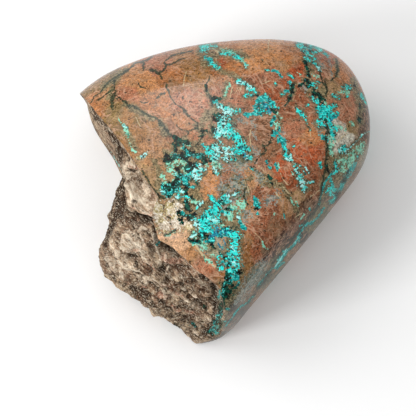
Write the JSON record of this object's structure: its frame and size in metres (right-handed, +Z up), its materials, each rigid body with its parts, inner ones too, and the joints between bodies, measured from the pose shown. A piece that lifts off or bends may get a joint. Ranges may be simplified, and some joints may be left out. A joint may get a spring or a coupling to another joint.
{
  "type": "shattuckite freeform",
  "caption": "Palm-sized polished stone freeform of red-brown jasper with blue-green shattuckite veins, a flat back and one broken side.",
  "frame": {"origin": "middle of the flat sawn back, on the surface that the stone lies on", "axes": "+Z up out of the flat back through the polished dome, +Y towards the long curved edge, the broken side facing -X and -Y"},
  "size_m": [0.0816, 0.084, 0.041],
  "materials": {
    "polished_jasper": "hand-polished stone"
  },
  "bodies": {
    "root": {"stone": "polished_jasper"}
  },
  "joints": []
}
